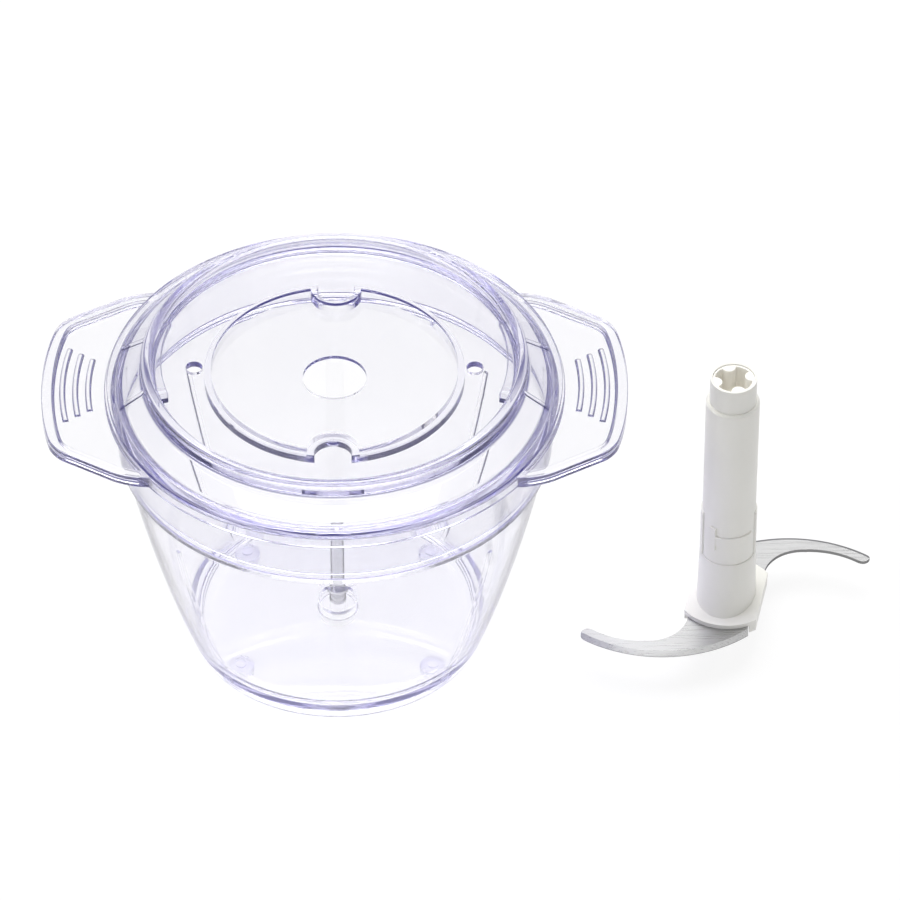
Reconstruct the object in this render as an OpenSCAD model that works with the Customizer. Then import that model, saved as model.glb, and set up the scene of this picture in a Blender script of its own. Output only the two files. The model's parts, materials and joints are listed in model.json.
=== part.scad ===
// Mini chopper bowl set: a clear bowl with two ears, its lid, and a hub with an S-blade beside it.
// Millimetres. The bowl's axis is Z, the table is z = 0, and the ears point along X.

/* [Bowl] */
// Outer diameter of the bowl's flange
rim_d = 150; // [140:1:160]
// Outer diameter of the bowl at its base
base_d = 98; // [94:1:102]
// Height of the flange's top above the table
bowl_h = 103.6; // [98:0.2:110]
// Thickness of the bowl's wall
bowl_wall = 2.2; // [1.8:0.1:2.6]
// Height of the seat ledge inside the wall
ledge_z = 81.5; // [78:0.5:84]
// How far the curved wall bulges from a straight cone
wall_bulge = 1.6; // [1:0.1:2.2]
// Height of the floor's upper face
floor_z = 6; // [5.4:0.1:6.4]
// Thickness of the flange and of the ears' edge
flange_t = 4.2; // [3.4:0.1:5]
// Angle of the wall ribs and feet from the ears' line
rib_angle = 41; // [36:1:48]

/* [Ears] */
// Distance of the ears' outer edge from the bowl's axis
ear_r = 96; // [92:0.5:100]
// Radius of the ears' outer corners
ear_corner_r = 11; // [8:0.5:13]
// Angle of the corner centres from the ears' line
ear_corner_angle = 16.5; // [14:0.5:18]
// Width of the raised edge round an ear
ear_edge = 3.6; // [3:0.1:4.4]
// Width of a grip rib
grip_w = 2; // [1.6:0.1:2.4]

/* [Spindle] */
// Diameter of the spindle pin
pin_d = 4.5; // [4:0.1:5]
// Height of the pin's rounded top above the table
pin_top_z = 42.5; // [40:0.5:45]

/* [Lid] */
// Outer diameter of the raised rim
rim_ring_d = 126; // [122:0.5:128]
// Width of the raised rim
rim_ring_w = 4; // [3.4:0.1:4.6]
// Height of the raised rim above the bowl's flange
rim_ring_h = 12; // [11:0.2:13]
// Depth of the deck below the raised rim
deck_drop = 4.8; // [4.4:0.1:5.6]
// Thickness of the lid's plates and walls
lid_t = 2.2; // [1.8:0.1:2.4]
// Diameter of the recessed well
well_d = 80.4; // [76:0.4:84]
// Depth of the well
well_depth = 4.2; // [3.4:0.1:4.6]
// Radius of the half-round tongues that reach into the well
tongue_r = 8.4; // [7:0.2:9.4]
// Diameter of the drive hole
drive_hole_d = 20.8; // [20.4:0.2:22]
// Diameter of the two drain holes
drain_d = 5.5; // [4:0.5:6]

/* [Hub and blade] */
// Distance of the hub's axis from the bowl's axis, to the right
hub_x = 129.5; // [124:0.5:150]
// Distance of the hub's axis from the bowl's axis, to the back
hub_y = -5; // [-20:1:20]
// Height of the hub
hub_h = 110.5; // [106:0.5:116]
// Outer diameter of the drive tube
tube_d = 17.6; // [17.2:0.1:18.2]
// Diameter of the hub's foot plate
plate_d = 33.6; // [33:0.2:34.6]
// Radius that the blade's tips sweep
tip_r = 52.6; // [51:0.1:52.8]
// Thickness of the blade
blade_t = 1.2; // [1:0.1:1.5]

/* [Hidden] */
$fn = 96;

// Clearances
running_gap = 0.06;
press_gap = 0.02;
lid_gap = 0.4;

// Overlap of joined shapes, and overshoot of cutting shapes
eps = 0.05;
over = 1;

// Bowl wall: the outer face is an arc from the base to the ledge's height
rim_r = rim_d / 2;
base_r = base_d / 2;
base_ring_z = 0.6;
rim_overhang = 4.2;
ledge_r = rim_r - rim_overhang;
chord = norm([ledge_r - base_r, ledge_z]);
chord_angle = atan2(ledge_z, ledge_r - base_r);
arc_r = chord * chord / (8 * wall_bulge) + wall_bulge / 2;
arc_c = [(base_r + ledge_r) / 2 - (arc_r - wall_bulge) * sin(chord_angle),
         ledge_z / 2 + (arc_r - wall_bulge) * cos(chord_angle)];
function wall_r(z, inset) = arc_c[0] + sqrt(pow(arc_r - inset, 2) - pow(z - arc_c[1], 2));

// Points along an arc, from one angle to another
function arc_points(c, r, a0, a1, steps) =
    [for (i = [0:steps]) c + r * [cos(a0 + (a1 - a0) * i / steps), sin(a0 + (a1 - a0) * i / steps)]];

// Half profile under the wall's arc, with a fillet that touches both the arc and the level face at z0
floor_fillet = 5;
base_fillet = 3;
wall_steps = 24;
fillet_steps = 8;
function fillet_c(z, inset, r) =
    [arc_c[0] + sqrt(pow(arc_r - inset - r, 2) - pow(z + r - arc_c[1], 2)), z + r];
function angle_from(c, p) = atan2(p[1] - c[1], p[0] - c[0]);
function wall_points(z0, z1, inset, fillet) =
    let (c = fillet_c(z0, inset, fillet), touch = angle_from(arc_c, c),
         end = asin((z1 - arc_c[1]) / (arc_r - inset)))
    concat(arc_points(c, fillet, -90, touch, fillet_steps),
           arc_points(arc_c, arc_r - inset, touch + (end - touch) / wall_steps, end, wall_steps - 1));

// Neck of the bowl between the ledge and the flange
flange_z = bowl_h - flange_t;
neck_draft = 1.8;
neck_thinning = 0.6;
neck_wall = bowl_wall - neck_thinning;
neck_top_r = ledge_r + neck_draft;
function neck_inner_r(z) = ledge_r - neck_wall + neck_draft * (z - ledge_z) / (bowl_h - ledge_z);
flange_edge_r = 0.8;
floor_t = 2.6;
base_ring_w = 2.4;
base_inner_r = wall_r(base_ring_z + base_fillet, base_ring_w);

// Wall ribs
rib_w = 1.6;
rib_out = 1;
rib_root = 1.2;
rib_sink = 0.4;
rib_top_z = 70;

// Boss and pin
boss_r = 6.8;
boss_foot_r = 5.6;
boss_z = 8.2;
under_boss_r = 6.4;
pin_r = pin_d / 2;
pin_root_z = 1.6;
step_r = 2.75;
collar_r = 3.6;
collar_z = 12.4;
collar_t = 1.2;

// Feet
foot_r = 4.3;
foot_gap = 1.4;
foot_ring_r = base_inner_r - foot_gap - foot_r;
foot_stem_r = 1.8;
foot_stem_l = 1.2;
foot_chamfer = 0.5;
feet = [for (side = [[-1, -1], [1, -1], [-1, 1], [1, 1]])
        [side[0] * foot_ring_r * cos(rib_angle), side[1] * foot_ring_r * sin(rib_angle)]];

// Ears
ear_root = [66, 46];
ear_corner = (ear_r - ear_corner_r) * [cos(ear_corner_angle), sin(ear_corner_angle)];
root_line = ear_root - ear_corner;
ear_side = atan2(root_line[1], root_line[0]) - acos(ear_corner_r / norm(root_line));
ear_normal = [cos(ear_side), sin(ear_side)];
corner_steps = 10;
tip_steps = 8;
ear_plate_t = 2.4;
ear_plate_drop = 1;
ear_bite = 1;
grip_in = 7.4;
grip_pitch = 4.2;
grip_half_angles = [11.5, 10.3, 9];
grip_rise = 0.9;
grip_steps = 8;
grip_end_step = 30;
grip_end_steps = 4;

// Lid levels and radii
ring_r = rim_ring_d / 2;
ring_top_z = bowl_h + rim_ring_h;
deck_z = ring_top_z - deck_drop;
well_z = deck_z - well_depth;
well_r = well_d / 2;
lid_flange_in = 0.8;
lid_flange_r = rim_r - lid_flange_in;
lid_flange_t = 1.8;
skirt_lift = 1.7;
skirt_end_z = ledge_z + skirt_lift;
skirt_t = 1.8;
skirt_top_r = neck_inner_r(bowl_h) - lid_gap;
skirt_end_r = neck_inner_r(skirt_end_z) - lid_gap;
shoulder_out = 0.6;
shoulder_foot = [skirt_top_r + shoulder_out, bowl_h + lid_flange_t];
ring_edge_r = 1.4;
drain_r_pos = 45.6;
lug_half_angle = 18;
lug_in = 2.9;
lug_t = 2;
lug_top_drop = 0.8;
lug_stop_angle = 4;
key_angles = [-12, 12];
key_t = 1.2;
key_rise = 1.2;

// Hub levels, above the hub's own foot
hub_neck_r = 7.65;
hub_neck_h = 9.5;
hub_bore_floor = 4.6;
shoulder_z = hub_h - hub_neck_h;
shoulder_chamfer = 0.6;
seam_z = 36;
spigot_l = 10;
tube_r = tube_d / 2;
tube_wall = 1.7;
spigot_step = 1.5;
spigot_r = tube_r - spigot_step;
spigot_wall = 1.4;
spigot_end_gap = 1;
sleeve_proud = 0.3;
sleeve_foot_r = 13.8;
sleeve_flat = 10;
socket_depth = 13.5;
socket_sink = 0.4;
socket_floor_z = hub_h - socket_depth;
socket_r = 6.9;
socket_web = 2;
lobe_hole_r = 6.15;
lobe_r = 2.3;
lobe_turn = 13;
latch_w = 6;
latch_h = 18;
latch_proud = 0.5;
latch_slot_gap = 0.2;
latch_end_wall = 2;
key_bar_z = seam_z + 8;
key_bar_h = 4;
key_bar_rise = 0.5;
key_stop_z = seam_z + 6;
key_stop_h = 9.5;
key_stop_rise = 0.7;
key_bar_start = 240;
key_bar_angle = 85;
key_stop_angle = 15;

// Bush and thrust pad: the pin's rounded top rides on the pad
bush_r = 4.4;
bush_bore_r = pin_r + running_gap;
pin_reach = pin_top_z - collar_z - collar_t;
collar_gap = 0.6;
pad_z = hub_bore_floor + pin_reach - collar_gap;
pad_t = 1.6;
pad_r = 3.2;
pad_relief = 1;
bush_cap_t = 1.2;
bush_top_z = pad_z + pad_t + bush_cap_t;

// Blade seat and foot plate
blade_mid_z = 14;
blade_top_z = blade_mid_z + blade_t / 2;
blade_low_z = blade_mid_z - blade_t / 2;
plate_r = plate_d / 2;
plate_flat = 12.1;
plate_turn = -11.5;
plate_t = 1.6;
retainer_t = 1.8;
retainer_half_w = 6;
retainer_in = 1;
pad_bite = 1;
foot_tube_r = 6.8;
post_r = 1.55;
post_y = 10.6;
bevel_w = 1.7;
bevel_start = 215;
bevel_angle = 110;
edge_land = 0.25;
bevel_slope = (blade_t - edge_land) / bevel_w;

// Outline of the left blade arm, given as shares of the tip radius
cut_c = tip_r * [-0.415, 0.3];
cut_r = tip_r * 0.852;
root_c = tip_r * [-0.504, -0.165];
root_r = tip_r * 0.26;
root_end_x = 6.8;
pad_gap = 0.4;
web_r = 10.6;
tip_c = tip_r * [-0.8815, -0.357];
tip_step = 0.1;
tip_round = cut_r - norm(tip_c - cut_c) - tip_step;
tip_angle = atan2(tip_c[1] - cut_c[1], tip_c[0] - cut_c[0]) + 90;
back_c = tip_r * [-0.538, 0.097];
back_r = norm(tip_c - back_c) - tip_round - tip_step;
arm_split_x = tip_r * -0.528;

// A rectangle with round corners on its outer side, in the profile plane
module bar_2d(x0, x1, z0, z1, r) {
    translate([x0, z0]) square([x1 - x0 - r, z1 - z0]);
    translate([x0, z0 + r]) square([x1 - x0, z1 - z0 - 2 * r]);
    for (z = [z0 + r, z1 - r]) translate([x1 - r, z]) circle(r, $fn = 48);
}

// Half profile of everything inside the wall's arc, from a level face upwards
module wall_2d(z0, z1, inset, fillet) {
    polygon(concat([[0, z0]], wall_points(z0, z1, inset, fillet), [[0, z1]]));
}

// One rib that stands on the wall's inner face, on the X side
module wall_rib() {
    inner = wall_points(floor_z - rib_sink, rib_top_z, bowl_wall + rib_out, floor_fillet);
    rotate([90, 0, 0]) translate([0, 0, -rib_w / 2]) linear_extrude(rib_w)
        polygon(concat(inner, [[wall_r(rib_top_z, rib_root), rib_top_z],
                               [wall_r(floor_z, rib_root), floor_z - rib_root],
                               [inner[0][0], floor_z - rib_root]]));
}

// Ear outline, drawn smaller by an inset
module ear_2d(inset) {
    c = ear_corner;
    r = ear_corner_r - inset;
    root = ear_root - ear_normal * inset;
    side = concat([root], arc_points(c, r, ear_side, ear_corner_angle, corner_steps),
                  arc_points([0, 0], ear_r - inset, ear_corner_angle * (1 - 1 / tip_steps), 0,
                             tip_steps - 1));
    mirrored = [for (i = [len(side) - 2:-1:0]) [side[i][0], -side[i][1]]];
    polygon(concat([[0, root[1]]], side, mirrored, [[0, -root[1]]]));
}

// One grip rib: a low bar bent round the bowl's axis, with round ends
module grip_rib(r, half_angle) {
    w = grip_w / 2;
    end = r * [cos(half_angle), sin(half_angle)];
    start = [end[0], -end[1]];
    linear_extrude(grip_rise) polygon(concat(
        arc_points([0, 0], r + w, -half_angle, half_angle, grip_steps),
        arc_points(end, w, half_angle + grip_end_step, half_angle + 180 - grip_end_step, grip_end_steps),
        arc_points([0, 0], r - w, half_angle, -half_angle, grip_steps),
        arc_points(start, w, 180 - half_angle + grip_end_step, 360 - half_angle - grip_end_step,
                   grip_end_steps)));
}

// One ear: a thin plate inside a thick edge, with three grip ribs
module ear() {
    plate_top = bowl_h - ear_plate_drop;
    difference() {
        union() {
            translate([0, 0, flange_z]) linear_extrude(flange_t) difference() {
                ear_2d(0);
                ear_2d(ear_edge);
            }
            translate([0, 0, plate_top - ear_plate_t]) linear_extrude(ear_plate_t) ear_2d(ear_edge - eps);
            for (i = [0:len(grip_half_angles) - 1]) translate([0, 0, plate_top - eps])
                grip_rib(ear_r - grip_in - i * grip_pitch, grip_half_angles[i]);
        }
        translate([0, 0, flange_z - over]) cylinder(r = rim_r - ear_bite, h = flange_t + 2 * over, $fn = 240);
    }
}

module bowl_shell_2d() {
    difference() {
        union() {
            wall_2d(base_ring_z, ledge_z, 0, base_fillet);
            polygon([[0, ledge_z], [ledge_r, ledge_z], [neck_top_r, flange_z + eps], [0, flange_z + eps]]);
            bar_2d(0, rim_r, flange_z, bowl_h, flange_edge_r);
        }
        wall_2d(floor_z, ledge_z + eps, bowl_wall, floor_fillet);
        polygon([[0, ledge_z], [neck_inner_r(ledge_z), ledge_z], [neck_inner_r(bowl_h + eps), bowl_h + eps],
                 [0, bowl_h + eps]]);
        square([base_inner_r, floor_z - floor_t]);
    }
}

module bowl() {
    color([0.86, 0.86, 0.95, 0.35]) difference() {
        union() {
            rotate_extrude($fn = 240) bowl_shell_2d();
            for (s = [0, 180]) rotate(s) ear();
            // Boss that carries the spindle pin: it widens above the floor, and reaches the table below it
            translate([0, 0, floor_z - eps])
                cylinder(r1 = boss_foot_r, r2 = boss_r, h = boss_z - floor_z + eps);
            cylinder(r = under_boss_r, h = floor_z);
            for (a = [rib_angle, 180 - rib_angle, 180 + rib_angle, 360 - rib_angle]) rotate(a) wall_rib();
        }
        translate([0, 0, pin_root_z]) cylinder(r = step_r + press_gap, h = boss_z);
        for (p = feet) translate([p[0], p[1], floor_z - floor_t - eps])
            cylinder(r = foot_stem_r + press_gap, h = foot_stem_l + eps);
    }
}

module spindle_pin() {
    color([0.78, 0.79, 0.8]) {
        translate([0, 0, pin_root_z]) cylinder(r = step_r, h = collar_z - pin_root_z);
        translate([0, 0, collar_z]) cylinder(r = collar_r, h = collar_t);
        translate([0, 0, collar_z]) cylinder(r = pin_r, h = pin_top_z - collar_z - pin_r);
        translate([0, 0, pin_top_z - pin_r]) sphere(pin_r);
    }
}

module foot(p) {
    color([0.88, 0.88, 0.93, 0.6]) translate([p[0], p[1], 0]) {
        cylinder(r1 = foot_r - foot_chamfer, r2 = foot_r, h = foot_chamfer);
        translate([0, 0, foot_chamfer]) cylinder(r = foot_r, h = floor_z - floor_t - foot_chamfer);
        translate([0, 0, floor_z - floor_t - eps]) cylinder(r = foot_stem_r, h = foot_stem_l);
    }
}

module foot_front_left() { foot(feet[0]); }
module foot_front_right() { foot(feet[1]); }
module foot_back_left() { foot(feet[2]); }
module foot_back_right() { foot(feet[3]); }

// Outline of the well, with the tongues left standing, grown outwards by the wall's thickness
module well_2d(grow) {
    difference() {
        circle(well_r + grow, $fn = 240);
        for (s = [-1, 1]) translate([0, s * well_r]) circle(tongue_r - grow);
    }
}

// Half profile of the lid without its well
module lid_2d() {
    // Deck, raised rim and shoulder
    under_z = deck_z - lid_t;
    ring_in = ring_r - rim_ring_w;
    translate([0, under_z]) square([ring_r - eps, lid_t]);
    translate([ring_in, under_z]) square([rim_ring_w, ring_top_z - under_z - ring_edge_r]);
    translate([ring_in + ring_edge_r, ring_top_z - 2 * ring_edge_r])
        square([rim_ring_w - 2 * ring_edge_r, 2 * ring_edge_r]);
    for (r = [ring_in + ring_edge_r, ring_r - ring_edge_r])
        translate([r, ring_top_z - ring_edge_r]) circle(ring_edge_r, $fn = 48);
    polygon([[ring_in, under_z], [ring_r - eps, deck_z], shoulder_foot, [skirt_top_r, bowl_h],
             [skirt_top_r - skirt_t, bowl_h]]);
    // Flange that rests on the bowl, and the skirt inside it
    bar_2d(skirt_top_r - skirt_t, lid_flange_r, bowl_h, bowl_h + lid_flange_t, flange_edge_r);
    polygon([[skirt_top_r - skirt_t, bowl_h + eps], [skirt_top_r, bowl_h + eps], [skirt_end_r, skirt_end_z],
             [skirt_end_r - skirt_t, skirt_end_z]]);
}

// The right-hand bayonet lug on the raised rim's inner wall, with a stop at its front end
module rim_lug() {
    r1 = ring_r - rim_ring_w + eps;
    top = ring_top_z - lug_top_drop;
    rotate(-lug_half_angle) {
        rotate_extrude(angle = 2 * lug_half_angle, $fn = 240)
            translate([r1 - lug_in, top - lug_t]) square([lug_in, lug_t]);
        rotate_extrude(angle = lug_stop_angle, $fn = 240)
            translate([r1 - lug_in, deck_z - eps]) square([lug_in, top - deck_z + eps]);
    }
}

// Two low keys on the shoulder beside each ear
module shoulder_keys() {
    for (side = [0, 180]) for (a = key_angles) rotate(side + a)
        rotate([90, 0, 0]) translate([0, 0, -key_t / 2]) linear_extrude(key_t)
            polygon([[ring_r - eps, deck_z - lid_t / 2], [ring_r - eps, deck_z + key_rise],
                     shoulder_foot + [0, key_rise], shoulder_foot - [0, lid_flange_t / 2]]);
}

module lid() {
    color([0.86, 0.86, 0.95, 0.35]) difference() {
        union() {
            difference() {
                union() {
                    rotate_extrude($fn = 240) lid_2d();
                    // The well's wall and floor, before the well is cut out of them
                    translate([0, 0, well_z - lid_t]) linear_extrude(deck_z - well_z + eps) well_2d(lid_t);
                }
                translate([0, 0, well_z]) linear_extrude(deck_z - well_z + over) well_2d(0);
            }
            rim_lug();
            mirror([1, 0, 0]) rim_lug();
            shoulder_keys();
        }
        translate([0, 0, well_z - lid_t - over]) cylinder(d = drive_hole_d, h = lid_t + 2 * over);
        for (s = [-1, 1]) translate([s * drain_r_pos, 0, deck_z - lid_t - over])
            cylinder(d = drain_d, h = lid_t + 2 * over);
    }
}

// Moves a hub piece to where the hub stands
module at_hub() { translate([hub_x, hub_y, 0]) children(); }

// The two things that repeat half a turn apart on the hub
module both_sides() { for (a = [0, 180]) rotate(a) children(); }

module blade_arm_2d() {
    intersection() {
        difference() {
            translate(cut_c) circle(cut_r, $fn = 360);
            translate(back_c) circle(back_r, $fn = 360);
        }
        translate(tip_c) rotate(tip_angle) translate([0, -tip_r]) square(2 * tip_r);
        translate([-tip_r, -tip_r]) square([tip_r + arm_split_x, 2 * tip_r]);
    }
    difference() {
        intersection() {
            translate(cut_c) circle(cut_r, $fn = 360);
            translate([arm_split_x - eps, -tip_r])
                square([root_end_x - arm_split_x + eps, tip_r + root_c[1]]);
        }
        translate(root_c) circle(root_r, $fn = 180);
    }
    translate(tip_c) circle(tip_round);
    circle(web_r);
}

module blade() {
    color([0.8, 0.81, 0.83]) at_hub() translate([0, 0, blade_mid_z]) difference() {
        translate([0, 0, -blade_t / 2]) linear_extrude(blade_t) both_sides() blade_arm_2d();
        // Ground bevel along both convex edges
        both_sides() translate(cut_c) rotate(bevel_start) rotate_extrude(angle = bevel_angle, $fn = 360)
            polygon([[cut_r - bevel_w - over, blade_t / 2 + over * bevel_slope],
                     [cut_r + over, blade_t / 2 + over * bevel_slope],
                     [cut_r + over, edge_land - blade_t / 2 - over * bevel_slope]]);
        both_sides() translate([0, post_y, 0])
            cylinder(r = post_r + press_gap, h = 4 * blade_t, center = true);
        cylinder(r = foot_tube_r + press_gap, h = 4 * blade_t, center = true);
    }
}

// Foot plate outline: a disc with two flats
module plate_2d(r, flat) {
    intersection() {
        circle(r, $fn = 128);
        square([2 * flat, 3 * r], center = true);
    }
}

// Arc-shaped latch arm on the right-hand side, between two radii
module latch_arm(r0, r1, w, z0, z1) {
    intersection() {
        difference() {
            translate([0, 0, z0]) cylinder(r = r1, h = z1 - z0);
            translate([0, 0, z0 - over]) cylinder(r = r0, h = z1 - z0 + 2 * over);
        }
        translate([0, -w / 2, z0]) cube([2 * r1, w, z1 - z0]);
    }
}

module blade_carrier() {
    seat_z = blade_top_z + press_gap;
    foot_z = blade_low_z - retainer_t;
    color([0.95, 0.95, 0.93]) at_hub() difference() {
        union() {
            // Sleeve: a cone with two flats, so that it is narrow from the front and deep from the side
            rotate(plate_turn) intersection() {
                translate([0, 0, seat_z])
                    cylinder(r1 = sleeve_foot_r, r2 = tube_r + sleeve_proud, h = seam_z - seat_z);
                translate([-sleeve_flat, -plate_r, 0]) cube([2 * sleeve_flat, 2 * plate_r, seam_z + over]);
            }
            translate([0, 0, seat_z]) linear_extrude(plate_t)
                rotate(plate_turn) plate_2d(plate_r, plate_flat);
            // Side pads that close the foot beside the blade, and the posts that locate it
            translate([0, 0, foot_z]) linear_extrude(seat_z + pad_bite - foot_z) difference() {
                rotate(plate_turn) plate_2d(plate_r, plate_flat);
                both_sides() translate([-2 * plate_r, -2 * plate_r])
                    square([2 * plate_r + root_end_x + pad_gap, 2 * plate_r + root_c[1] + pad_gap]);
                circle(web_r + pad_gap);
            }
            both_sides() translate([0, post_y, foot_z]) cylinder(r = post_r, h = seat_z + pad_bite - foot_z);
            // Latch arms that rise into the drive tube's slots
            both_sides() latch_arm(spigot_r + press_gap, tube_r + latch_proud, latch_w, seam_z - eps,
                                   seam_z + latch_h);
        }
        translate([0, 0, seam_z - spigot_l - spigot_end_gap])
            cylinder(r = spigot_r + press_gap, h = spigot_l + spigot_end_gap + latch_h + over);
        cylinder(r = bush_r + press_gap, h = seam_z);
    }
}

module blade_retainer() {
    color([0.95, 0.95, 0.93]) at_hub() difference() {
        union() {
            cylinder(r = foot_tube_r, h = blade_top_z);
            translate([0, 0, blade_low_z - retainer_t]) linear_extrude(retainer_t - press_gap)
                plate_2d(plate_r - retainer_in, retainer_half_w);
        }
        translate([0, 0, hub_bore_floor]) cylinder(r = bush_r + press_gap, h = blade_mid_z);
        translate([0, 0, -over]) cylinder(r = collar_r + collar_gap, h = hub_bore_floor + 2 * over);
        both_sides() translate([0, post_y, 0]) cylinder(r = post_r + press_gap, h = blade_mid_z);
    }
}

// Bar of the bayonet on the tube, from one angle on, with the tube's own roundness
module key_bar(start, angle, z, h, rise) {
    rotate(start) rotate_extrude(angle = angle) translate([tube_r - rise, z]) square([2 * rise, h]);
}

module drive_tube() {
    bore_step_z = seam_z + latch_h + latch_end_wall;
    color([0.94, 0.94, 0.92]) at_hub() difference() {
        union() {
            translate([0, 0, seam_z - spigot_l]) cylinder(r = spigot_r, h = spigot_l + eps);
            translate([0, 0, seam_z]) cylinder(r = tube_r, h = shoulder_z - seam_z - shoulder_chamfer);
            translate([0, 0, shoulder_z - shoulder_chamfer])
                cylinder(r1 = tube_r, r2 = tube_r - shoulder_chamfer, h = shoulder_chamfer);
            translate([0, 0, shoulder_z - eps]) cylinder(r = hub_neck_r, h = hub_neck_h + eps);
            // Bayonet bars, each with a taller stop at its left end
            both_sides() key_bar(key_bar_start - key_stop_angle / 2, key_bar_angle + key_stop_angle / 2,
                                 key_bar_z, key_bar_h, key_bar_rise);
            both_sides() key_bar(key_bar_start - key_stop_angle, key_stop_angle, key_stop_z, key_stop_h,
                                 key_stop_rise);
        }
        // Bore: narrow behind the latch arms, wider above them, and the socket's seat at the top
        translate([0, 0, seam_z - spigot_l - over])
            cylinder(r = spigot_r - spigot_wall, h = bore_step_z - seam_z + spigot_l + over + eps);
        translate([0, 0, bore_step_z])
            cylinder(r = tube_r - tube_wall, h = socket_floor_z - socket_web - bore_step_z);
        translate([0, 0, socket_floor_z]) cylinder(r = socket_r + press_gap, h = socket_depth + over);
        both_sides() latch_arm(spigot_r, tube_r + over, latch_w + 2 * latch_slot_gap, seam_z - eps,
                               seam_z + latch_h + latch_slot_gap);
    }
}

module drive_socket() {
    color([0.93, 0.9, 0.85]) at_hub() difference() {
        translate([0, 0, socket_floor_z]) cylinder(r = socket_r, h = socket_depth - socket_sink);
        translate([0, 0, socket_floor_z + socket_web]) linear_extrude(socket_depth) difference() {
            circle(lobe_hole_r);
            for (a = [0:90:270]) rotate(lobe_turn + a) translate([lobe_hole_r, 0]) circle(lobe_r, $fn = 48);
        }
    }
}

module spindle_bush() {
    color([0.9, 0.88, 0.82]) at_hub() difference() {
        translate([0, 0, hub_bore_floor]) cylinder(r = bush_r, h = bush_top_z - hub_bore_floor);
        translate([0, 0, hub_bore_floor - over]) cylinder(r = bush_bore_r, h = pad_z - hub_bore_floor + over);
        // Closed pocket that the pad is moulded into, with a groove for grease below it
        translate([0, 0, pad_z - pad_relief]) cylinder(r = pad_r + press_gap, h = pad_relief + pad_t);
    }
}

module thrust_pad() {
    color([0.35, 0.35, 0.37]) at_hub() translate([0, 0, pad_z])
        cylinder(r = pad_r, h = pad_t);
}

bowl();
spindle_pin();
foot_front_left();
foot_front_right();
foot_back_left();
foot_back_right();
lid();
blade();
blade_carrier();
blade_retainer();
drive_tube();
drive_socket();
spindle_bush();
thrust_pad();
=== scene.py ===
# %% [markdown]
# # A clear chopper bowl with its lid and blade hub
#
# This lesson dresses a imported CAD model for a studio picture. The object is a clear moulded bowl with two
# ears, its clear lid, and a white hub with a steel S-blade that stands beside it. Clear plastic shows nothing
# but its edges, so the clear pieces are modelled again here with the small rounds that a mould gives them.
# Everything is in metres, in the CAD model's own frame.

# %% Load the frame
import json
import math

import bmesh
import bpy
from mathutils import Matrix, Vector

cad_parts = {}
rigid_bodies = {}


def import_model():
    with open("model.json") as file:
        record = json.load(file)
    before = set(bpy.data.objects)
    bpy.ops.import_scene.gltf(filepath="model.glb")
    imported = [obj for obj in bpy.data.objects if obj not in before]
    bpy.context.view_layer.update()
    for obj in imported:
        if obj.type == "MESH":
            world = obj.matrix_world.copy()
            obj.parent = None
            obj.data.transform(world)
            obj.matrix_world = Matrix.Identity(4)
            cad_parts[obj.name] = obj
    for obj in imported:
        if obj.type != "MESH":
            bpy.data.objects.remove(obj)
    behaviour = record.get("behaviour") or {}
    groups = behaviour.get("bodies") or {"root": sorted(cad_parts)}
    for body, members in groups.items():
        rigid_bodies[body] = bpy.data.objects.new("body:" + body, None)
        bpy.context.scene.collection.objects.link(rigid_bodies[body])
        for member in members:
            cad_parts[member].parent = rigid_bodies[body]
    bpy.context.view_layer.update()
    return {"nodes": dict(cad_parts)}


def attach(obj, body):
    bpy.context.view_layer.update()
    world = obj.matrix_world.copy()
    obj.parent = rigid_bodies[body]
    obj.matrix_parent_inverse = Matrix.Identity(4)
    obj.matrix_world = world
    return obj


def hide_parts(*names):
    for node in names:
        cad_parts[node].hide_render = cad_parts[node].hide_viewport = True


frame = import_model()
MM = 0.001
print("CAD nodes:", ", ".join(sorted(frame["nodes"])))

# %% [markdown]
# ## Small tools for materials
#
# Colours are written as sRGB hex values, as a designer would pick them, and one function turns them into the
# linear numbers that shaders use. One more function adds a node, sets its values and links its inputs, so a
# material reads as a short list of nodes. Three short ones do sums, mix colours and make ramps with it.

# %% Colour and node helpers
WHITE = "#ffffff"


def linear(hex_colour):
    """An sRGB hex colour as linear red, green, blue and alpha."""
    shares = [int(hex_colour[i:i + 2], 16) / 255 for i in (1, 3, 5)]
    return [s / 12.92 if s <= 0.04045 else ((s + 0.055) / 1.055) ** 2.4 for s in shares] + [1.0]


def add(tree, kind, settings=(), **inputs):
    """Adds a node. A socket among the inputs is linked, and any other value is set on the node itself."""
    node = tree.nodes.new(kind)
    for name, value in dict(settings).items():
        setattr(node, name, value)
    for name, value in inputs.items():
        socket = node.inputs[int(name[1:])] if name[1:].isdigit() else node.inputs[name.replace("_", " ")]
        if isinstance(value, bpy.types.NodeSocket):
            tree.links.new(value, socket)
        else:
            socket.default_value = value
    return node


def maths(tree, operation, *values):
    """The result of a sum on numbers and on other nodes' outputs."""
    inputs = {f"i{n}": value for n, value in enumerate(values)}
    return add(tree, "ShaderNodeMath", {"operation": operation}, **inputs).outputs["Value"]


def mixed(tree, share, first, second):
    """A colour between two others, each a hex value, linear numbers or another node's output."""
    first, second = [linear(c) if isinstance(c, str) else c for c in (first, second)]
    return add(tree, "ShaderNodeMix", {"data_type": "RGBA"}, i0=share, i6=first, i7=second).outputs["Result"]


def ramp(tree, value, at_zero, at_one):
    """A share that goes from zero to one between two values, upwards or downwards."""
    return add(tree, "ShaderNodeMapRange", Value=value, From_Min=at_zero, From_Max=at_one).outputs["Result"]


def new_material(name):
    """An empty material, its node tree and its output node."""
    material = bpy.data.materials.new(name)
    material.use_nodes = True
    material.node_tree.nodes.clear()
    return material, material.node_tree, material.node_tree.nodes.new("ShaderNodeOutputMaterial")


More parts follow.
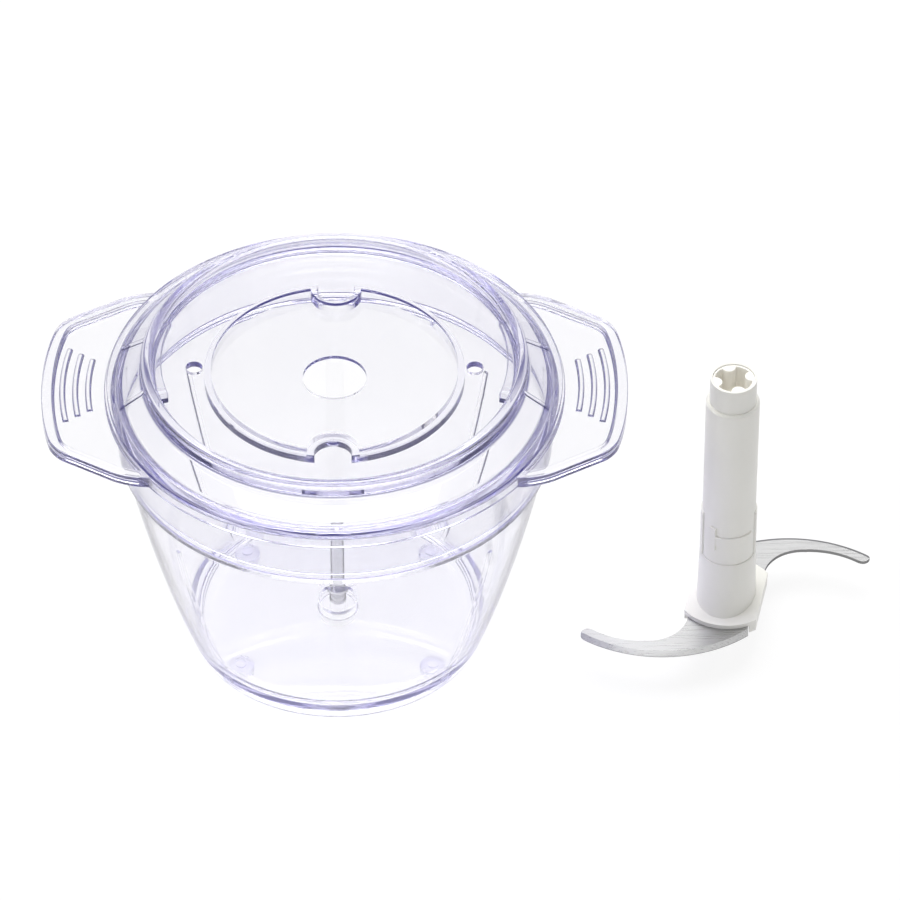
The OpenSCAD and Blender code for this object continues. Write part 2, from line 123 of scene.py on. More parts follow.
def per_mm(size_mm):
    """The scale of a noise texture whose features are about this size on Object coordinates in metres."""
    return 1 / (size_mm * MM)


print("white is", [round(c, 3) for c in linear(WHITE)])

# %% [markdown]
# ## Clear SAN
#
# Bowls like this are moulded from SAN, a clear and hard styrene plastic with a faint violet dye that hides
# its natural yellow. A thin wall looks colourless, and an edge looks violet, because light runs a long way
# inside the plastic to get there. That is absorption in a volume, so the tint sits in the volume and not on
# the surface. Lamps shine through the plastic, which a transparent shader for shadow rays gives at no cost.

# %% Clear SAN material
DYE, SHADOW_TINT = "#a69cf0", "#f4f3fb"


def clear_plastic(name, density, roughness):
    material, tree, output = new_material(name)
    place = add(tree, "ShaderNodeTexCoord").outputs["Object"]
    # The mould's flow leaves slow waves, about 18 mm long, that bend reflections a little
    flow = add(tree, "ShaderNodeTexNoise", Vector=place, Scale=per_mm(18), Detail=1.0)
    waves = add(tree, "ShaderNodeBump", Strength=0.04, Distance=0.4 * MM, Height=flow.outputs["Fac"])
    # Wiping leaves hazy patches of fine scratches, about 6 mm across
    wiped = add(tree, "ShaderNodeTexNoise", Vector=place, Scale=per_mm(6), Detail=4.0)
    haze = add(tree, "ShaderNodeMapRange", Value=wiped.outputs["Fac"], From_Min=0.35, From_Max=0.75,
               To_Min=roughness, To_Max=roughness * 2.2)
    # An alpha below one lets a share of the light straight through, which keeps corners from trapping it
    body = add(tree, "ShaderNodeBsdfPrincipled", Base_Color=linear(WHITE), IOR=1.52, Alpha=0.98,
               Transmission_Weight=1.0, Roughness=haze.outputs["Result"], Normal=waves.outputs["Normal"])
    lets_light_by = add(tree, "ShaderNodeBsdfTransparent", Color=linear(SHADOW_TINT))
    path = add(tree, "ShaderNodeLightPath").outputs
    surface = add(tree, "ShaderNodeMixShader", i0=path["Is Shadow Ray"], i1=body.outputs["BSDF"],
                  i2=lets_light_by.outputs["BSDF"])
    tint = add(tree, "ShaderNodeVolumeAbsorption", Color=linear(DYE), Density=density)
    tree.links.new(surface.outputs["Shader"], output.inputs["Surface"])
    tree.links.new(tint.outputs["Volume"], output.inputs["Volume"])
    return material


# The lid's plates are thin and seen once, the bowl's wall twice, so the lid can carry more dye
clear_san = clear_plastic("clear_moulded_san", 9.0, 0.01)
lid_san = clear_plastic("clear_moulded_lid_san", 13.0, 0.01)
clear_foot = clear_plastic("clear_soft_foot", 60.0, 0.22)
print("made", clear_san.name, lid_san.name, "and", clear_foot.name)

# %% [markdown]
# ## White hub plastic
#
# The hub is moulded from a filled white plastic such as POM. Its skin is satin: a mould finished with fine
# spark erosion gives it grains of about half a millimetre, which soften its highlights, and the white is a
# little warm. Light also goes a short way into it, so a little of it scatters under the skin.

# %% White and cream plastic materials
def satin_plastic(name, light, dark, roughness, depth_mm):
    material, tree, output = new_material(name)
    place = add(tree, "ShaderNodeTexCoord").outputs["Object"]
    grain = add(tree, "ShaderNodeTexNoise", Vector=place, Scale=per_mm(0.5), Detail=2.0)
    skin = add(tree, "ShaderNodeBump", Strength=0.06, Distance=0.05 * MM, Height=grain.outputs["Fac"])
    # Thick and thin places cool at different speeds, which shades the white over about 15 mm
    cooling = add(tree, "ShaderNodeTexNoise", Vector=place, Scale=per_mm(15), Detail=2.0)
    gloss = add(tree, "ShaderNodeMapRange", Value=grain.outputs["Fac"], To_Min=roughness - 0.06,
                To_Max=roughness + 0.06)
    body = add(tree, "ShaderNodeBsdfPrincipled", Base_Color=mixed(tree, cooling.outputs["Fac"], dark, light),
               IOR=1.48, Roughness=gloss.outputs["Result"], Normal=skin.outputs["Normal"])
    body.inputs["Subsurface Weight"].default_value = 0.1
    body.inputs["Subsurface Radius"].default_value = (1.0, 0.95, 0.85)
    body.inputs["Subsurface Scale"].default_value = depth_mm * MM
    tree.links.new(body.outputs["BSDF"], output.inputs["Surface"])
    return material


white_pom = satin_plastic("satin_white_pom", "#edece7", "#e6e5df", 0.38, 0.8)
cream_pom = satin_plastic("satin_cream_pom", "#fdfbf5", "#faf7ef", 0.42, 3.0)
grey_pad = satin_plastic("bearing_plastic", "#5a5a5e", "#505054", 0.4, 0.2)
print("made", white_pom.name, cream_pom.name, grey_pad.name)

# %% [markdown]
# ## Steel
#
# The pin is ground and polished, so it mirrors the room with only faint turning marks round its axis. The
# blade is stamped from brushed stainless sheet: its scratches all run one way, so noise that is stretched
# along one axis draws them. The brushing lines are drawn about 0.3 mm wide, coarser than real ones, so that
# the picture shows them. Faces that stand upright take a darker tone on both steels. On the blade this is
# partly the dull rim that the press shears and partly painted shade under the blade; on the pin it is painted
# shade alone. Steel mirrors a little less at a grazing angle of about 80 degrees, and the specular tint sets
# how much less; it is set dark enough that it also paints a dark reflection along the outlines, most of all
# on the pin.

# %% Steel materials
# Faces whose normal rises less than UPRIGHT take a darker tone: painted shade, on the blade also its dull
# sheared rim
UPRIGHT, DULL_SHARE = 0.3, 0.9


def darker(colour, share):
    return [c * share for c in linear(colour)[:3]] + [1.0]


def steel(name, colour, dull_rim_and_shade_share, grazing_dip_and_dark_outline, roughness, stretch, line_mm, strength, turn=0.0):
    material, tree, output = new_material(name)
    place = add(tree, "ShaderNodeTexCoord").outputs["Object"]
    along = add(tree, "ShaderNodeMapping", Vector=place, Rotation=(0, 0, turn), Scale=stretch)
    lines = add(tree, "ShaderNodeTexNoise", Vector=along.outputs["Vector"], Scale=per_mm(line_mm),
                Detail=3.0).outputs["Fac"]
    scratch = add(tree, "ShaderNodeBump", Strength=strength, Distance=0.02 * MM, Height=lines)
    gloss = add(tree, "ShaderNodeMapRange", Value=lines, From_Min=0.3, From_Max=0.7,
                To_Min=roughness * 0.8, To_Max=roughness * 1.3)
    # Upright faces are darkened here: painted shade, and on the blade also the dull rim that the press shears
    facing = add(tree, "ShaderNodeNewGeometry").outputs["True Normal"]
    level = add(tree, "ShaderNodeSeparateXYZ", Vector=facing).outputs["Z"]
    tone = mixed(tree, lines, darker(colour, DULL_SHARE), colour)
    finish = mixed(tree, maths(tree, "LESS_THAN", level, UPRIGHT), tone, darker(colour, dull_rim_and_shade_share))
    body = add(tree, "ShaderNodeBsdfPrincipled", Base_Color=finish, Metallic=1.0,
               Roughness=gloss.outputs["Result"], Normal=scratch.outputs["Normal"])
    # The dark specular tint paints a dark reflection along the outlines, besides the small real dip at
    # grazing angles
    body.inputs["Specular Tint"].default_value = linear(grazing_dip_and_dark_outline)
    tree.links.new(body.outputs["BSDF"], output.inputs["Surface"])
    return material


# The pin's upright faces take a painted shade of 0.85, since it has no sheared rim
pin_steel = steel("polished_pin_steel", "#e2e2e5", 0.85, "#202024", 0.12, (1, 1, 8), 1.5, 0.05)
blade_steel = steel("brushed_stainless_sheet", "#b4b4b4", 0.5, "#a0a0a4", 0.3, (0.02, 1, 1), 0.25, 0.1,
                    math.radians(20))
print("made", pin_steel.name, "and", blade_steel.name)

# %% [markdown]
# ## The bowl's turned shape
#
# The bowl without its ears is a shape of revolution, so its half profile is drawn as a few corners and spun.
# Each corner carries the length that its round takes off either side, and a vertex bevel on the wire makes
# the round before the spin. The bulging wall is one such corner too: it lies where the wall's two end
# tangents meet.

# %% Lathe helper
MERGE = 0.001 * MM
SMALL_ROUND, SMALL_STEPS, LONG_STEPS, ARC_SHARE = 8, 5, 20, 0.42


def mesh_object(name, bm):
    """A new object at the origin that holds a finished bmesh."""
    mesh = bpy.data.meshes.new(name)
    bm.to_mesh(mesh)
    bm.free()
    piece = bpy.data.objects.new(name, mesh)
    bpy.context.scene.collection.objects.link(piece)
    return piece


def wire(bm, corners, closed):
    """A wire of (across, up, round) corners in millimetres, in the XZ plane, with its corners rounded."""
    verts = [bm.verts.new((x * MM, 0, z * MM)) for x, z, _ in corners]
    for a, b in zip(verts, verts[1:] + verts[:1] if closed else verts[1:]):
        bm.edges.new((a, b))
    for vert, (_, _, rounding) in zip(verts, corners):
        if rounding:
            bmesh.ops.bevel(bm, geom=[vert], offset=rounding * MM, offset_type="OFFSET", profile=0.5,
                            segments=SMALL_STEPS if rounding < SMALL_ROUND else LONG_STEPS,
                            affect="VERTICES", material=-1)


def lathe(name, corners, closed=False, steps=192):
    bm = bmesh.new()
    wire(bm, corners, closed)
    bmesh.ops.spin(bm, geom=bm.verts[:] + bm.edges[:], cent=(0, 0, 0), axis=(0, 0, 1), angle=2 * math.pi,
                   steps=steps, use_merge=True)
    bmesh.ops.remove_doubles(bm, verts=bm.verts, dist=MERGE)
    bmesh.ops.recalc_face_normals(bm, faces=bm.faces)
    return mesh_object(name, bm)


def bulge(low, high, sagitta):
    """The rounded corner that bends the straight line between two profile points into a shallow arc."""
    line = Vector(high) - Vector(low)
    apex = (Vector(low) + Vector(high)) / 2 + Vector((line[1], -line[0])).normalized() * 2 * sagitta
    return apex[0], apex[1], line.length * ARC_SHARE


# %% Bowl body
FLOOR, LEDGE, FLANGE_UNDER, RIM, AIR = 6.0, 81.5, 99.4, 103.6, 0.12
BOSS_R, UNDER_FLOOR, PIN_R, PIN_END, COLLAR = 6.4, 3.4 + AIR, 2.77, 1.6, 8.2
BASE_IN_R, BASE, STEP = 47.5, (49.2, 0.6), (69.5, LEDGE - 2.1)
FLANGE_R, FLANGE_TOP, INNER_BASE, INNER_TOP = 75, RIM - AIR, (48.7, FLOOR), (67.4, LEDGE - 4)
underside = [(0, 0, 0), (BOSS_R, 0, 0.5), (BOSS_R, UNDER_FLOOR, 0.8), (BASE_IN_R, UNDER_FLOOR, 0.8),
             (BASE_IN_R, BASE[1], 0.1)]
outer_wall = [(*BASE, 0.12), bulge(BASE, STEP, 1.6), (*STEP, 0.3), (71.2, LEDGE - 1.8, 1.2),
              (72.6, FLANGE_UNDER, 0.5), (FLANGE_R, FLANGE_UNDER, 0.5), (FLANGE_R, FLANGE_TOP, 0.5)]
inner_wall = [(71, FLANGE_TOP, 0.4), (69.2, LEDGE, 0.2), (68.4, LEDGE, 0.25), (*INNER_TOP, 1.0),
              bulge(INNER_BASE, INNER_TOP, 1.3), (*INNER_BASE, 5)]
collar = [(5.6, FLOOR, 0.8), (6.8, COLLAR, 0.5), (PIN_R, COLLAR, 0.2), (PIN_R, PIN_END, 0), (0, PIN_END, 0)]
bowl = lathe("bowl_clear", underside + outer_wall + inner_wall + collar)
print("bowl body:", len(bowl.data.polygons), "faces")

# %% [markdown]
# ## Ears and ribs
#
# Each ear is a plate with a raised edge and three grip ribs. The outline starts as a few corners, and its
# rounds come from the same wire tool. An inset makes the raised edge, and a second small inset sinks the
# plate. The pieces are then joined to the bowl with Boolean modifiers, because clear plastic would show any
# face left inside it.

# %% Solid helpers
EDGE_ANGLE, SHARP_ANGLE = math.radians(40), math.radians(42)


def raised(bm, vec):
    """Extrudes all faces of a flat bmesh into a solid."""
    moved = bmesh.ops.extrude_face_region(bm, geom=bm.faces[:])["geom"]
    bmesh.ops.translate(bm, verts=[v for v in moved if isinstance(v, bmesh.types.BMVert)], vec=vec)
    bmesh.ops.recalc_face_normals(bm, faces=bm.faces)
    return bm


def plate(name, corners, low, high):
    """A flat plate with a rounded outline, given in the XY plane, between two heights."""
    bm = bmesh.new()
    wire(bm, corners, True)
    bmesh.ops.rotate(bm, verts=bm.verts, matrix=Matrix.Rotation(math.pi / 2, 3, "X").inverted())
    bmesh.ops.contextual_create(bm, geom=bm.edges[:])
    bmesh.ops.translate(bm, verts=bm.verts, vec=(0, 0, low * MM))
    return mesh_object(name, raised(bm, (0, 0, (high - low) * MM)))


def ring_bar(name, corners, start, end, steps):
    """A bar of the given cross-section that runs round the bowl's axis between two angles, in degrees."""
    bm = bmesh.new()
    wire(bm, corners, True)
    bmesh.ops.contextual_create(bm, geom=bm.edges[:])
    bmesh.ops.rotate(bm, verts=bm.verts, matrix=Matrix.Rotation(math.radians(start), 3, "Z"))
    bmesh.ops.spin(bm, geom=bm.verts[:] + bm.edges[:] + bm.faces[:], cent=(0, 0, 0), axis=(0, 0, 1),
                   angle=math.radians(end - start), steps=steps)
    bmesh.ops.remove_doubles(bm, verts=bm.verts, dist=MERGE)
    bmesh.ops.holes_fill(bm, edges=[e for e in bm.edges if e.is_boundary])
    bmesh.ops.recalc_face_normals(bm, faces=bm.faces)
    return mesh_object(name, bm)


def disc(name, centre, radius, low, high, steps=96):
    bm = bmesh.new()
    bmesh.ops.create_cone(bm, cap_ends=True, segments=steps, radius1=radius * MM, radius2=radius * MM,
                          depth=(high - low) * MM)
    bmesh.ops.translate(bm, verts=bm.verts, vec=(centre[0] * MM, centre[1] * MM, (low + high) / 2 * MM))
    return mesh_object(name, bm)


def turned(piece, degrees):
    piece.data.transform(Matrix.Rotation(math.radians(degrees), 4, "Z"))
    return piece


def apply_modifiers(piece):
    """Replaces a piece's mesh by what its modifiers make of it."""
    shown = piece.evaluated_get(bpy.context.evaluated_depsgraph_get())
    mesh = bpy.data.meshes.new_from_object(shown)
    piece.modifiers.clear()
    old, piece.data = piece.data, mesh
    bpy.data.meshes.remove(old)


def combine(piece, operation, *others):
    """Joins other pieces to this one, or cuts them from it, and deletes them."""
    for other in others:
        join = piece.modifiers.new("join", "BOOLEAN")
        join.operation, join.solver, join.object = operation, "EXACT", other
        apply_modifiers(piece)
        bpy.data.meshes.remove(other.data)
    return piece


def soften(piece, width):
    """Puts a round of the given width in millimetres on a piece's sharp edges."""
    soft = piece.modifiers.new("soft_edges", "BEVEL")
    soft.width, soft.segments, soft.profile = width * MM, 3, 0.5
    soft.limit_method, soft.angle_limit = "ANGLE", EDGE_ANGLE
    apply_modifiers(piece)


def finish_piece(piece, material, body):
    """Shades a piece smoothly, gives it its material and hangs it on its body."""
    for polygon in piece.data.polygons:
        polygon.use_smooth = True
    piece.data.set_sharp_from_angle(angle=SHARP_ANGLE)
    # Large faces set the normals that they share with narrow rounds, so flat faces stay flat
    even = piece.modifiers.new("even_normals", "WEIGHTED_NORMAL")
    even.mode, even.keep_sharp = "FACE_AREA", True
    apply_modifiers(piece)
    piece.data.materials.clear()
    piece.data.materials.append(material)
    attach(piece, body)
    print(piece.name, "has", len(piece.data.polygons), "faces")


# %% Ears with grip ribs
EAR_TOP, EAR_EDGE, EAR_SLOPE, EAR_HOLLOW, EAR_ROUND = 102.6, 3.6, 0.3, 0.8, 0.7
EAR = [(0, 46, 0), (66, 46, 6), (90.8, 31.4, 4.3), (100.1, 0, 28), (90.8, -31.4, 4.3), (66, -46, 6),
       (0, -46, 0)]
GRIPS, GRIP_HALF, GRIP_ROUND = [(88.6, 11.5), (84.4, 10.3), (80.2, 9.0)], 1, 0.8
GRIP_LOW, GRIP_TOP = EAR_TOP - 0.5, EAR_TOP + 0.9
JOIN_R, JOIN_LOW, JOIN_HIGH = 74, 90, 110


def raise_rim(piece, drops):
    """Sinks a plate's two faces inside its edge, the top by the first drop, the underside by the second."""
    bm = bmesh.new()
    bm.from_mesh(piece.data)
    for face in [f for f in bm.faces if abs(f.normal.z) > 0.9]:
        drop = drops[0] if face.normal.z > 0 else drops[1]
        bmesh.ops.inset_region(bm, faces=[face], thickness=EAR_EDGE * MM, depth=0)
        bmesh.ops.inset_region(bm, faces=[face], thickness=EAR_SLOPE * MM, depth=-drop * MM)
    bm.to_mesh(piece.data)
    bm.free()


def make_ear(side):
    ear = plate("ear_" + side, EAR, FLANGE_UNDER, RIM)
    raise_rim(ear, (RIM - EAR_TOP, EAR_HOLLOW))
    soften(ear, EAR_ROUND)
    for radius, half in GRIPS:
        inner, outer = radius - GRIP_HALF, radius + GRIP_HALF
        section = [(inner, GRIP_LOW, 0), (outer, GRIP_LOW, 0), (outer, GRIP_TOP, GRIP_ROUND),
                   (inner, GRIP_TOP, GRIP_ROUND)]
        combine(ear, "UNION", ring_bar("grip", section, -half, half, 16))
    combine(ear, "DIFFERENCE", disc("inside_of_bowl", (0, 0), JOIN_R, JOIN_LOW, JOIN_HIGH, 192))
    return turned(ear, 0 if side == "right" else 180)


combine(bowl, "UNION", make_ear("right"), make_ear("left"))
print("bowl with ears:", len(bowl.data.polygons), "faces")

# %% Wall ribs
RIB_ANGLE, RIB_WIDTH, RIB_TOP, RIB_END, RIB_BULGE = 41, 1.6, 70.0, 43.3, 1.0
RIB_FOOT, RIB_UNDER = (47.5, 5.6), (49.3, 4.8)
RIB = [(RIB_END, RIB_UNDER[1], 0), (RIB_END, RIB_FOOT[1], 0), (*RIB_FOOT, 4.0),
       bulge(RIB_FOOT, (65.2, RIB_TOP), RIB_BULGE), (65.2, RIB_TOP, 0.4), (67.2, RIB_TOP, 0),
       bulge(RIB_UNDER, (67.2, RIB_TOP), RIB_BULGE), (*RIB_UNDER, 0)]


def make_rib(angle):
    bm = bmesh.new()
    wire(bm, RIB, True)
    bmesh.ops.contextual_create(bm, geom=bm.edges[:])
    bmesh.ops.translate(bm, verts=bm.verts, vec=(0, -RIB_WIDTH / 2 * MM, 0))
    return turned(mesh_object("rib", raised(bm, (0, RIB_WIDTH * MM, 0))), angle)


for angle in (RIB_ANGLE, 180 - RIB_ANGLE, 180 + RIB_ANGLE, 360 - RIB_ANGLE):
    combine(bowl, "UNION", make_rib(angle))
finish_piece(bowl, clear_san, "bowl")
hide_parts("bowl")

# %% [markdown]
# ## The lid
#
# The lid is a turned shape as well, apart from its well: two half-round tongues reach into that. So the
# turned shape gets a plain deck, a cup is joined under it, and a cutter with the well's outline opens it from
# above. Lugs for the motor unit stand inside the raised rim, and small keys stand on the shoulder.

# %% Lid body
DECK, DECK_UNDER, RING_TOP, WELL, SKIRT_END, LIP_TOP = 110.8, 108.6, 115.6, 106.6, 83.2, 105.4
RING_IN_R, RING_R, LIP_R, HOLE_R, DRAIN_AT, DRAIN_R = 59, 63, 74.2, 10.4, 45.6, 2.75
WELL_R, TONGUE_R, WALL, WELL_FLOOR, OVERLAP = 40.2, 8.4, 2.2, 1.2, 0.4
HOLE_LOW, DRAIN_LOW, HOLE_HIGH = 100, 106, 112
skirt = [(0, DECK_UNDER, 0), (59, DECK_UNDER, 1.0), (68.8, RIM, 1.0), (67.14, SKIRT_END, 0.5),
         (68.94, SKIRT_END, 0.6), (70.6, RIM, 0.3)]
shoulder = [(LIP_R, RIM, 0.2), (LIP_R, LIP_TOP, 0.2), (71.2, LIP_TOP, 0.8), (RING_R, DECK, 1.0)]
rim = [(RING_R, RING_TOP, 1.5), (RING_IN_R, RING_TOP, 1.5), (RING_IN_R, DECK, 0.8), (0, DECK, 0)]
lid = lathe("lid_clear", skirt + shoulder + rim)


def well_shape(name, grow, low, high):
    """The well's outline with its two tongues left out, grown outwards, as a solid between two heights."""
    shape = disc(name, (0, 0), WELL_R + grow, low, high, 160)
    for y in (-WELL_R, WELL_R):
        combine(shape, "DIFFERENCE", disc("tongue", (0, y), TONGUE_R - grow, low - 1, high + 1, 64))
    return shape


combine(lid, "UNION", well_shape("cup", WALL, WELL - WELL_FLOOR, DECK_UNDER + OVERLAP))
combine(lid, "DIFFERENCE", well_shape("well", 0, WELL, DECK + 1),
        disc("drive_hole", (0, 0), HOLE_R, HOLE_LOW, HOLE_HIGH),
        disc("drain_left", (-DRAIN_AT, 0), DRAIN_R, DRAIN_LOW, HOLE_HIGH, 32),
        disc("drain_right", (DRAIN_AT, 0), DRAIN_R, DRAIN_LOW, HOLE_HIGH, 32))
print("lid body:", len(lid.data.polygons), "faces")

# %% Lugs and keys
LUG_HALF, STOP_WIDE, KEY_AT, KEY_HALF, LID_ROUND = 18, 4, 12, 0.5, 0.35
LUG_IN, LUG_OUT, LUG_LOW, LUG_TOP, STOP_LOW, STOP_TOP = 56.15, 59.2, 112.8, 114.8, DECK - 0.3, 114.6
LUG = [(LUG_IN, LUG_LOW, 0.3), (LUG_OUT, LUG_LOW, 0), (LUG_OUT, LUG_TOP, 0), (LUG_IN, LUG_TOP, 0.4)]
STOP = [(LUG_IN, STOP_LOW, 0), (LUG_OUT, STOP_LOW, 0), (LUG_OUT, STOP_TOP, 0), (LUG_IN, STOP_TOP, 0.4)]
KEY = [(62.6, DECK - 1, 0), (62.6, DECK + 1.2, 0), (71.2, 106.6, 0), (71.2, 104.6, 0)]
for centre in (0, 180):
    # Each lug has its stop at its front end
    stop_at = centre - LUG_HALF if centre == 0 else centre + LUG_HALF - STOP_WIDE
    combine(lid, "UNION", ring_bar("lug", LUG, centre - LUG_HALF, centre + LUG_HALF, 20),
            ring_bar("stop", STOP, stop_at, stop_at + STOP_WIDE, 4))
    for angle in (centre - KEY_AT, centre + KEY_AT):
        combine(lid, "UNION", ring_bar("key", KEY, angle - KEY_HALF, angle + KEY_HALF, 1))
soften(lid, LID_ROUND)
finish_piece(lid, lid_san, "lid")
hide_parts("lid")

# %% [markdown]
# ## Hub and blade
#
# These pieces have the right shape in the CAD model. A moulded piece has no knife-sharp edge, though, so each
# white piece is copied, its loose triangles are merged, flat faces are made whole again, and a small bevel is
# put on its edges. The carrier's sleeve is round at its seam and flows into an oval at its foot, so what
# stands outside that form is cut from the copy. The pin, the feet and the blade keep their CAD meshes and
# take only a finish.

# %% Soft-edged hub pieces
HUB, HUB_TURN, HUB_ROUND, FLAT_ANGLE = (129.5, -5), -11.5, 0.3, math.radians(0.5)
FOOT_TOP, SEAM, GAP = 16.2, 36.0, 0.02
SEAM_R, OVAL_WIDE, OVAL_DEEP, OUTSIDE_R = 9.3, 9.7, 13.4, 20


def around_sleeve():
    """All that lies round the carrier's sleeve, between its foot and its seam."""
    bm = bmesh.new()
    bmesh.ops.create_cone(bm, cap_ends=True, segments=96, radius1=OVAL_DEEP * MM, radius2=SEAM_R * MM,
                          depth=(SEAM - FOOT_TOP) * MM)
    for vert in bm.verts:
        if vert.co.z < 0:
            vert.co.x *= OVAL_WIDE / OVAL_DEEP
    bmesh.ops.rotate(bm, verts=bm.verts, matrix=Matrix.Rotation(math.radians(HUB_TURN), 3, "Z"))
    bmesh.ops.translate(bm, verts=bm.verts, vec=(HUB[0] * MM, HUB[1] * MM, (SEAM + FOOT_TOP) / 2 * MM))
    block = disc("round_the_sleeve", HUB, OUTSIDE_R, FOOT_TOP + GAP, SEAM - GAP)
    return combine(block, "DIFFERENCE", mesh_object("oval_sleeve", bm))


def softened(node, material):
    """A copy of a CAD node with soft edges, in its place."""
    bm = bmesh.new()
    bm.from_mesh(frame["nodes"][node].data)
    bmesh.ops.remove_doubles(bm, verts=bm.verts, dist=MERGE)
    bmesh.ops.dissolve_limit(bm, angle_limit=FLAT_ANGLE, verts=bm.verts, edges=bm.edges)
    piece = mesh_object(node + "_soft", bm)
    if node == "blade_carrier":
        combine(piece, "DIFFERENCE", around_sleeve())
    soften(piece, HUB_ROUND)
    finish_piece(piece, material, "blade_unit")
    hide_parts(node)


for node in ("drive_tube", "blade_carrier", "blade_retainer"):
    softened(node, white_pom)
softened("drive_socket", cream_pom)

# %% Finishes on the CAD nodes that stay
FINISHES = {"spindle_pin": pin_steel, "blade": blade_steel, "spindle_bush": cream_pom, "thrust_pad": grey_pad,
            "foot_front_left": clear_foot, "foot_front_right": clear_foot, "foot_back_left": clear_foot,
            "foot_back_right": clear_foot}
for node, material in FINISHES.items():
    mesh = frame["nodes"][node].data
    mesh.materials.clear()
    mesh.materials.append(material)
print("finished", len(FINISHES), "CAD nodes")

# %% [markdown]
# ## Floor, light and camera
#
# The object stands on a white light table, which keeps a faint shadow. The camera sees the table and the room
# white. Clear plastic on white needs something darker to draw its edges, as a photographer's dark cards
# would. So light that an edge bends finds a dark ring on the table and a dark band in the room above the
# horizon. Both are violet for light that has been inside the plastic, which stands for the dye in its edges.
# Mirrored light finds grey, so steel and white plastic keep their own colour.

# %% Floor
DYED, GREY, PAPER = "#281c80", "#c2c2c6", "#f6f6f6"
RING_START, RING_END, NEARER = (0.22, 0.3), (0.55, 0.38), 0.11
STRAIGHT, ASTRAY = -0.998, -0.98
GLOW_SHARE, GLOW, TABLE_HALF = 0.85, 1.03, 6.0


def ray_kinds(tree):
    """The light path's outputs, whether a ray was bent or mirrored, and whether it has been in plastic."""
    path = add(tree, "ShaderNodeLightPath").outputs
    sent_on = maths(tree, "MAXIMUM", path["Is Glossy Ray"], path["Is Transmission Ray"])
    return path, sent_on, maths(tree, "GREATER_THAN", path["Transmission Depth"], 0.5)


def light_table():
    material, tree, output = new_material("white_light_table")
    place = add(tree, "ShaderNodeTexCoord").outputs["Object"]
    away = add(tree, "ShaderNodeVectorMath", {"operation": "LENGTH"}, i0=place).outputs["Value"]
    path, sent_on, inside = ray_kinds(tree)
    # The violet ring starts nearer to the object than the grey one
    nearer = maths(tree, "MULTIPLY_ADD", inside, NEARER, away)
    ring = maths(tree, "MULTIPLY", ramp(tree, nearer, *RING_START), ramp(tree, away, *RING_END))
    # Light that comes straight through a wall, along the camera's own line of sight, finds the table white
    sight = add(tree, "ShaderNodeCameraData").outputs["View Vector"]
    to_world = {"vector_type": "VECTOR", "convert_from": "CAMERA", "convert_to": "WORLD"}
    ahead = add(tree, "ShaderNodeVectorTransform", to_world, Vector=sight).outputs["Vector"]
    back = add(tree, "ShaderNodeNewGeometry").outputs["Incoming"]
    turn = add(tree, "ShaderNodeVectorMath", {"operation": "DOT_PRODUCT"}, i0=ahead, i1=back).outputs["Value"]
    strayed = maths(tree, "MULTIPLY", ring, ramp(tree, turn, STRAIGHT, ASTRAY))
    beyond = maths(tree, "MULTIPLY", strayed, sent_on)
    colour = mixed(tree, beyond, WHITE, mixed(tree, inside, GREY, DYED))
    seen = maths(tree, "MAXIMUM", sent_on, path["Is Camera Ray"])
    paper = add(tree, "ShaderNodeBsdfDiffuse", Color=linear(PAPER))
    glow = add(tree, "ShaderNodeEmission", Color=colour, Strength=GLOW)
    both = add(tree, "ShaderNodeMixShader", i0=maths(tree, "MULTIPLY", seen, GLOW_SHARE),
               i1=paper.outputs["BSDF"], i2=glow.outputs["Emission"])
    tree.links.new(both.outputs["Shader"], output.inputs["Surface"])
    return material


bm = bmesh.new()
bmesh.ops.create_grid(bm, x_segments=1, y_segments=1, size=TABLE_HALF)
floor = mesh_object("floor", bm)
floor.data.materials.append(light_table())
print("floor of", 2 * TABLE_HALF, "m")

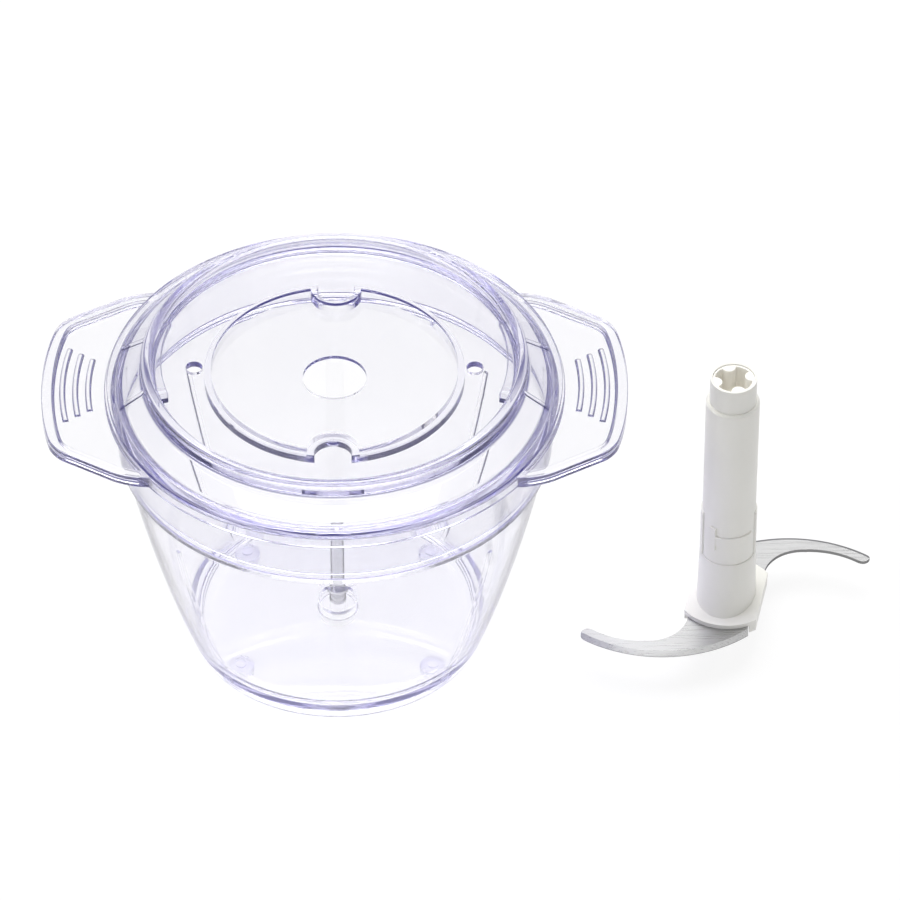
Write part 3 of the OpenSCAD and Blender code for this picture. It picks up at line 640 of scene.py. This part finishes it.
# %% Room
BAND_START, BAND_END, GREY_RISE, FILL = (0.04, 0.12), (0.95, 0.72), (0.1, 0.7), "#b4b4b4"
world = bpy.data.worlds.new("studio")
bpy.context.scene.world = world
world.use_nodes = True
tree = world.node_tree
tree.nodes.clear()
direction = add(tree, "ShaderNodeTexCoord").outputs["Generated"]
height = add(tree, "ShaderNodeSeparateXYZ", Vector=direction).outputs["Z"]
path, sent_on, inside = ray_kinds(tree)
band = maths(tree, "MULTIPLY", ramp(tree, height, *BAND_START), ramp(tree, height, *BAND_END))
dyed_walls = mixed(tree, band, WHITE, DYED)
grey_walls = mixed(tree, ramp(tree, height, *GREY_RISE), GREY, WHITE)
walls = mixed(tree, inside, grey_walls, dyed_walls)
room = mixed(tree, sent_on, FILL, walls)
backdrop = mixed(tree, path["Is Camera Ray"], room, WHITE)
light = add(tree, "ShaderNodeBackground", Color=backdrop)
add(tree, "ShaderNodeOutputWorld", Surface=light.outputs["Background"])
print("room of", len(tree.nodes), "nodes")

# %% Soft boxes
def soft_box(name, place, target, size, power):
    data = bpy.data.lights.new(name, "AREA")
    data.shape, data.size, data.energy = "DISK", size, power
    lamp = bpy.data.objects.new(name, data)
    lamp.location = place
    lamp.rotation_euler = (Vector(target) - Vector(place)).to_track_quat("-Z", "Y").to_euler()
    bpy.context.scene.collection.objects.link(lamp)


soft_box("overhead_box", (0.0, 0.5, 1.6), (0.04, 0, 0), 1.4, 22)
soft_box("left_box", (-1.2, -0.3, 0.9), (0.04, 0, 0.05), 0.8, 4)
print("two soft boxes")

# %% Camera at the photograph's view
camera = bpy.data.objects.new("camera", bpy.data.cameras.new("camera"))
camera.location = (0.0375, -1.7157, 1.6013)
target = Vector((0.0375, 0.084, 0))
camera.rotation_euler = (target - camera.location).to_track_quat("-Z", "Y").to_euler()
camera.data.lens, camera.data.sensor_width = 280, 36
camera.data.clip_end = 50
bpy.context.scene.collection.objects.link(camera)
bpy.context.scene.camera = camera
bpy.context.scene.view_settings.view_transform = "Standard"
# Light that is caught in a clear edge turns many corners before it comes out
paths = bpy.context.scene.cycles
paths.max_bounces, paths.transmission_bounces = 32, 32
paths.glossy_bounces, paths.transparent_max_bounces = 24, 32
print("camera at", [round(c, 3) for c in camera.location])
